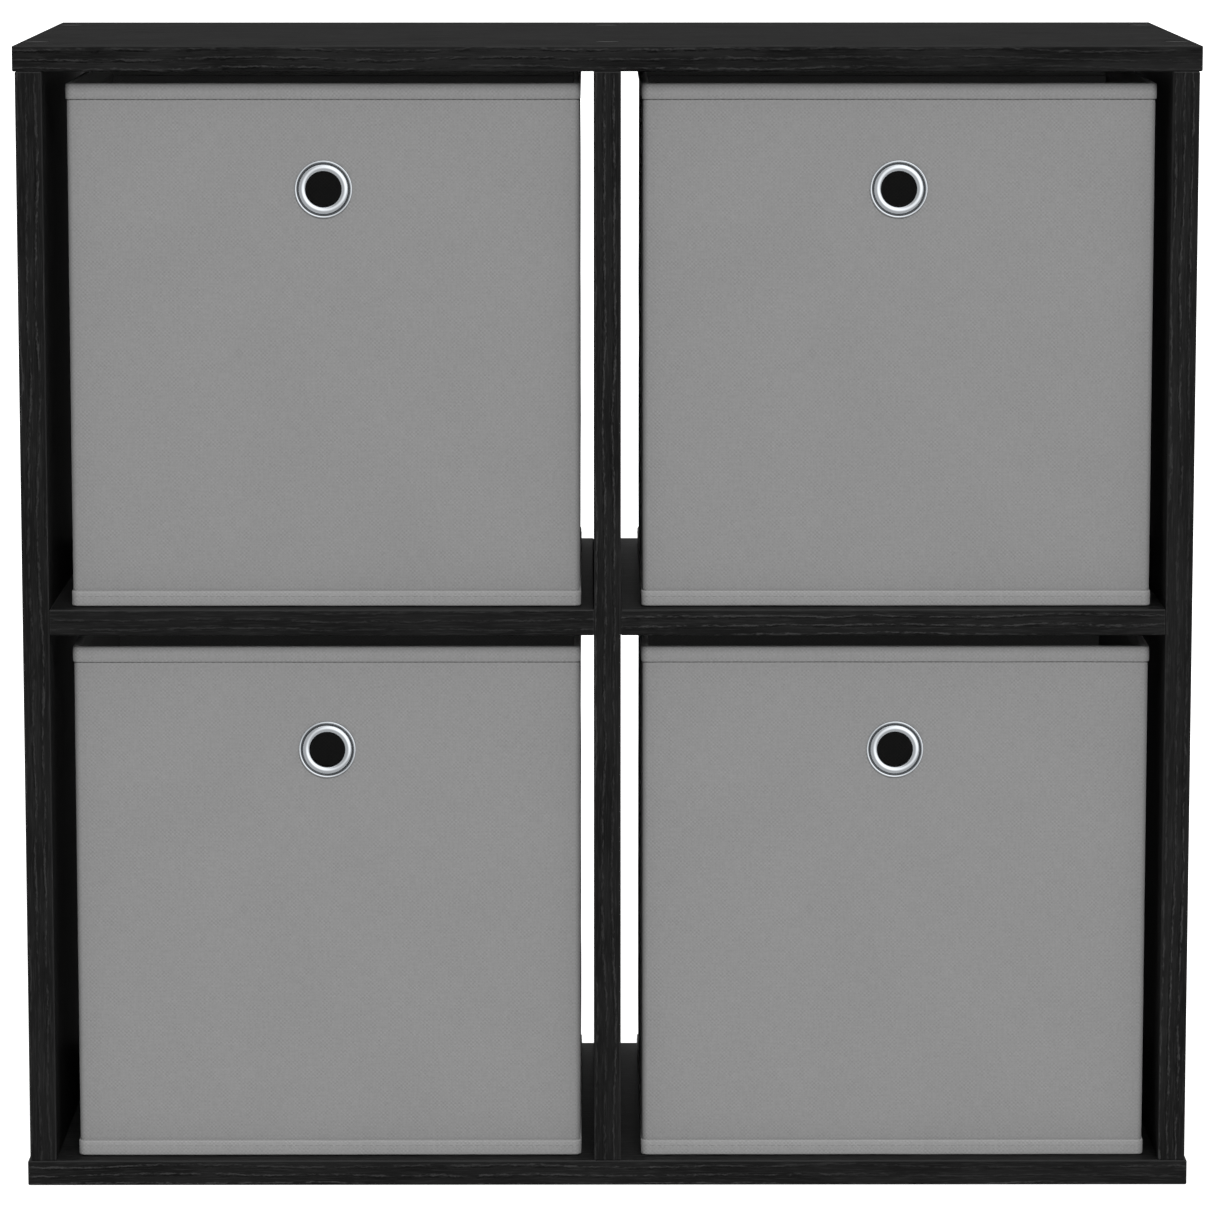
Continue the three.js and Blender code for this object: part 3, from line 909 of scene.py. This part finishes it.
def make_boxes():
    cloth = cloth_material("grey_cloth", 0.234)
    # paler than the cloth: painted light, offsetting the shade of the board above the rim
    binding = cloth_material("binding_cloth", 0.244)
    # paler again: partly the tape's own colour, partly painted light offsetting the shade of the ledge in
    # front of it
    foot_binding = cloth_material("foot_binding_cloth", 0.285)
    lining = cloth_material("lining_cloth", 0.20, LINING_WEAVE_DEPTH)
    thread = cloth_material("thread", 0.25)
    # darker than the cloth: partly thread colour, partly painted shade deepening the dark line along the top
    # seam
    seam_shade_thread = cloth_material("seam_shade_thread", 0.15)
    metal = metal_material("polished_nickel", 0.86, 0.06, 0.14, 2.5 * MM)
    # a darker metal for the eyelet's groove: painted shade
    painted_groove_shade = metal_material("groove_shade_nickel", 0.16, 0.25, 0.4, 2.5 * MM)
    for seed, name in enumerate(("lower_left", "lower_right", "upper_left", "upper_right"), start=1):
        box = FabricBox(name, seed)
        box.make_shell(cloth, lining)
        box.make_top_hem(binding)
        box.make_bottom_hem(foot_binding)
        box.make_stitches("top_stitches", box.top_seam - 0.3 * MM, -0.35 * MM, seam_shade_thread)
        box.make_stitches("bottom_stitches", box.bottom_seam - 3 * MM, HEM_PROUD, thread)
        box.make_eyelet(metal, painted_groove_shade)
        box.make_base_board(lining)


# ------------------------------------------------------------------ surroundings
FLOOR_HALF = 40.0
FLOOR_GAP = 0.2 * MM  # keeps the unit's underside and the floor from sharing a plane
FLOOR_LEVEL = 0.66
FLOOR_GLOW = 0.75  # keeps the floor as white as the sky, with only faint shadows
SKY_SEEN = 1.0
SKY_LIGHT = 0.70  # how much of that whiteness lights the unit; the lamps give the rest
LAMP_SPREAD_DEGREES = 16  # wide, for soft shadows
FILL_SPREAD_DEGREES = 4
FRONT_LAMP_FROM = Vector((0.18, -1.0, 0.80))
FRONT_LAMP_STRENGTH = 1.95
BACK_LAMP_FROM = Vector((-0.35, 1.0, 0.60))
BACK_LAMP_STRENGTH = 1.4
FILL_FROM = Vector((0.22, -1.0, 0.20))
FILL_STRENGTH = 0.11
REFLECTED_DIM = 0.22  # what shines reflects this everywhere, and the softboxes on top of it
# Each softbox is (its direction, half-angle of its edge, half-angle of its full brightness, brightness).
SOFTBOXES = [
    (Vector((0, -1, 0)), 140, 80, 0.24),  # all that is in front
    (Vector((0.50, -1.0, 0.38)).normalized(), 52, 14, 0.85),  # beside and above the camera
    (Vector((0, 0, 1)), 50, 25, 0.50),  # overhead
    (Vector((0, 1, 0)), 60, 30, 0.30),  # behind
]


def add_floor():
    builder = bmesh.new()
    level = cad_low.z - FLOOR_GAP
    corners = [(-1, -1), (1, -1), (1, 1), (-1, 1)]
    builder.faces.new([builder.verts.new((x * FLOOR_HALF, y * FLOOR_HALF, level)) for x, y in corners])
    shader = Shader("pale_floor")
    shader.set({
        "Base Color": grey(FLOOR_LEVEL),
        "Roughness": 0.9,
        "Specular IOR Level": 0.0,
        "Emission Color": grey(1.0),
        "Emission Strength": FLOOR_GLOW,
    })
    floor = make_object("floor", builder, [shader.material])
    floor.visible_glossy = False
    floor.visible_diffuse = False


def add_sky():
    """A white sky, dimmer where it lights a matt surface, and a studio of softboxes where it is reflected."""
    world = bpy.data.worlds.new("studio")
    world.use_nodes = True
    world.cycles.sampling_method = "NONE"
    tree = world.node_tree
    background = tree.nodes["Background"]
    background.inputs["Color"].default_value = (1, 1, 1, 1)
    direction = tree.nodes.new("ShaderNodeTexCoord").outputs["Generated"]
    rays = tree.nodes.new("ShaderNodeLightPath")

    def put(value, socket):
        if isinstance(value, bpy.types.NodeSocket):
            tree.links.new(value, socket)
        else:
            socket.default_value = value

    def softbox(towards, edge_degrees, core_degrees, brightness):
        """Brightness that rises to its full level within an angle of a direction."""
        facing = tree.nodes.new("ShaderNodeVectorMath")
        facing.operation = "DOT_PRODUCT"
        put(direction, facing.inputs[0])
        put(towards, facing.inputs[1])
        glow = tree.nodes.new("ShaderNodeMapRange")
        glow.interpolation_type = "SMOOTHSTEP"
        edge = math.cos(math.radians(edge_degrees))
        core = math.cos(math.radians(core_degrees))
        for index, value in enumerate((facing.outputs["Value"], edge, core, 0, brightness)):
            put(value, glow.inputs[index])
        return glow.outputs[0]

    def added(first, second):
        total = tree.nodes.new("ShaderNodeMath")
        put(first, total.inputs[0])
        put(second, total.inputs[1])
        return total.outputs[0]

    def chosen(kind_of_ray, others_get, these_get):
        choice = tree.nodes.new("ShaderNodeMix")
        put(rays.outputs[kind_of_ray], choice.inputs[0])
        put(others_get, choice.inputs[2])
        put(these_get, choice.inputs[3])
        return choice.outputs[0]

    reflected = softbox(*SOFTBOXES[0])
    for settings in SOFTBOXES[1:]:
        reflected = added(reflected, softbox(*settings))
    even = chosen("Is Diffuse Ray", SKY_SEEN, SKY_LIGHT)
    put(chosen("Is Glossy Ray", even, added(reflected, REFLECTED_DIM)), background.inputs["Strength"])
    SCENE.world = world


def add_lamp(name, source, strength, spread_degrees, casts_shadows=True):
    """A soft far lamp in that direction, which doesn't show in reflections: the softboxes do."""
    data = bpy.data.lights.new(name, "SUN")
    data.energy = strength
    data.angle = math.radians(spread_degrees)
    data.use_shadow = casts_shadows
    lamp = bpy.data.objects.new(name, data)
    lamp.rotation_euler = (-source).to_track_quat("-Z", "Y").to_euler()
    lamp.visible_glossy = False
    SCENE.collection.objects.link(lamp)


def add_lights():
    add_lamp("front_lamp", FRONT_LAMP_FROM, FRONT_LAMP_STRENGTH, LAMP_SPREAD_DEGREES)
    add_lamp("back_lamp", BACK_LAMP_FROM, BACK_LAMP_STRENGTH, LAMP_SPREAD_DEGREES)
    add_lamp("fill", FILL_FROM, FILL_STRENGTH, FILL_SPREAD_DEGREES, casts_shadows=False)


# ------------------------------------------------------------------ assembly
add_camera()
dress_boards()
dress_fasteners()
make_boxes()
add_floor()
add_sky()
add_lights()
SCENE.view_settings.view_transform = "Standard"
